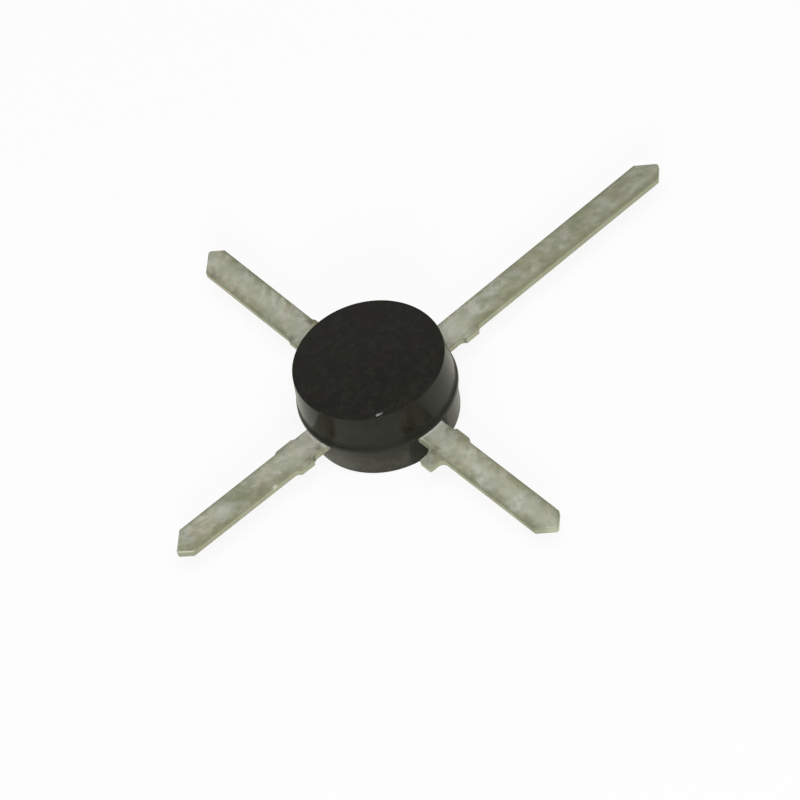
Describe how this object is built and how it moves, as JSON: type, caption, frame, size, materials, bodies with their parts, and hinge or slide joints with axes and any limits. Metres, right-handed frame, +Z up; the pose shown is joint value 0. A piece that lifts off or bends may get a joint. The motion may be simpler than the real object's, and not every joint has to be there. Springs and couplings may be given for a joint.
{
  "type": "cross-lead disc transistor",
  "caption": "Round moulded radio-frequency transistor with flat tinned leads in a cross, a longer lead that marks the first pin and an index tab.",
  "frame": {"origin": "centre of the body's flat underside, on the body's axis", "axes": "+Z up along the body's axis, from the underside to the top face; +X along the long lead; +Y along the plain side lead, and -Y along the lead with the index tab"},
  "size_m": [0.0187, 0.0158, 0.0025],
  "materials": {
    "moulding": "near-black filled moulding compound, matt on top and a little glossier round the side",
    "tinned_lead": "dull tin plate with a greenish grey tarnish",
    "chip": "polished silicon",
    "gold_wire": "bright gold wire"
  },
  "bodies": {
    "root": {"moulded_body": "moulding", "long_lead": "tinned_lead", "opposite_lead": "tinned_lead", "side_lead": "tinned_lead", "tabbed_lead": "tinned_lead", "chip": "chip", "opposite_bond_wire": "gold_wire", "side_bond_wire": "gold_wire", "tabbed_bond_wire": "gold_wire"}
  },
  "joints": []
}
